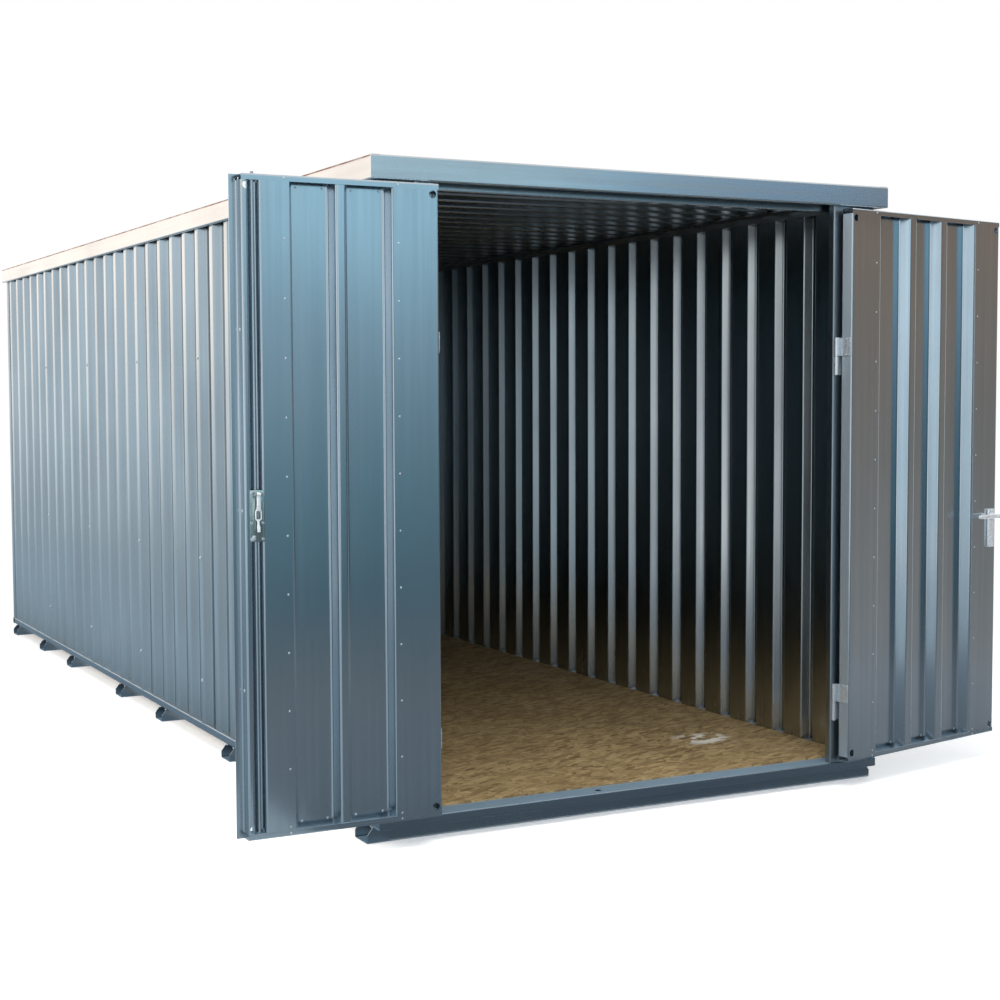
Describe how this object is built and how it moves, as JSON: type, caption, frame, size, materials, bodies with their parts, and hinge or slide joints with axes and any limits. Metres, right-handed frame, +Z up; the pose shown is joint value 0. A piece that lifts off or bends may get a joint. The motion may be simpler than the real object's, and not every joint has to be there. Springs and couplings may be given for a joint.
{
  "type": "storage container",
  "caption": "Long galvanised sheet-steel storage container on skids, ribbed walls and roof, board floor, and unequal double doors standing open at one end.",
  "frame": {"origin": "on the ground, at the middle of the underside of the fifth skid from the doors", "axes": "+X across the doorway to the right seen from outside, +Y from the doors to the rear wall, +Z up"},
  "size_m": [3.3757, 6.0739, 2.325],
  "materials": {
    "profiled_sheet": "galvanised, softly spangled, slightly dulled",
    "frame_steel": "galvanised folded sections",
    "zinc_hardware": "bright zinc plated",
    "floor_board": "raw strand board"
  },
  "bodies": {
    "container": {"skid_1": "frame_steel", "skid_2": "frame_steel", "skid_3": "frame_steel", "skid_4": "frame_steel", "skid_5": "frame_steel", "skid_6": "frame_steel", "skid_7": "frame_steel", "skid_8": "frame_steel", "left_base_rail": "frame_steel", "right_base_rail": "frame_steel", "front_sill": "frame_steel", "rear_sill": "frame_steel", "floor": "floor_board", "left_wall": "profiled_sheet", "right_wall": "profiled_sheet", "rear_wall": "profiled_sheet", "left_door_post": "frame_steel", "right_door_post": "frame_steel", "left_front_corner": "frame_steel", "right_front_corner": "frame_steel", "left_rear_corner": "frame_steel", "right_rear_corner": "frame_steel", "left_top_rail": "frame_steel", "right_top_rail": "frame_steel", "rear_top_rail": "frame_steel", "header": "frame_steel", "roof": "profiled_sheet", "front_fascia": "frame_steel", "rear_fascia": "frame_steel", "left_fascia": "frame_steel", "right_fascia": "frame_steel", "left_post_hinges": "zinc_hardware", "right_post_hinges": "zinc_hardware"},
    "left_leaf": {"left_leaf_sheet": "profiled_sheet", "left_leaf_hinge_profile": "frame_steel", "left_leaf_lock_profile": "frame_steel", "left_leaf_bottom_rail": "frame_steel", "left_leaf_top_rail": "frame_steel", "left_leaf_hinges": "zinc_hardware", "latch_plate": "zinc_hardware"},
    "right_leaf": {"right_leaf_sheet": "profiled_sheet", "right_leaf_hinge_profile": "frame_steel", "right_leaf_lock_profile": "frame_steel", "right_leaf_bottom_rail": "frame_steel", "right_leaf_top_rail": "frame_steel", "right_leaf_hinges": "zinc_hardware", "lock_plates": "zinc_hardware"},
    "upper_rod": {"upper_rod": "zinc_hardware"},
    "lower_rod": {"lower_rod": "zinc_hardware"},
    "latch_lever": {"latch_lever": "zinc_hardware"},
    "handle": {"handle": "zinc_hardware"}
  },
  "joints": [
    {"name": "left_leaf_hinge", "type": "hinge", "parent": "container", "child": "left_leaf", "pos_m": [-0.848, -3.30992, 1], "axis": [0, 0, -1], "range_deg": [-180, 12]},
    {"name": "right_leaf_hinge", "type": "hinge", "parent": "container", "child": "right_leaf", "pos_m": [0.848, -3.30992, 1], "axis": [0, 0, 1], "range_deg": [-192, 0]},
    {"name": "latch_turn", "type": "hinge", "parent": "left_leaf", "child": "latch_lever", "pos_m": [-1.51107, -3.38491, 1.218], "axis": [-1, 0, 0], "range_deg": [0, 150]},
    {"name": "upper_rod_slide", "type": "slide", "parent": "left_leaf", "child": "upper_rod", "axis": [0, 0, 1], "range_m": [0, 0.025]},
    {"name": "lower_rod_slide", "type": "slide", "parent": "left_leaf", "child": "lower_rod", "axis": [0, 0, -1], "range_m": [0, 0.025]},
    {"name": "handle_turn", "type": "hinge", "parent": "right_leaf", "child": "handle", "pos_m": [1.75856, -3.17873, 1.017], "axis": [0.2079, -0.9781, 0], "range_deg": [0, 45], "stiffness_Nm_per_rad": 1.5, "springref_deg": -28.65}
  ],
  "couplings": [
    {"joint": "upper_rod_slide", "follows": "latch_turn", "m_per_rad": 0.0095492},
    {"joint": "lower_rod_slide", "follows": "latch_turn", "m_per_rad": 0.0095492}
  ]
}
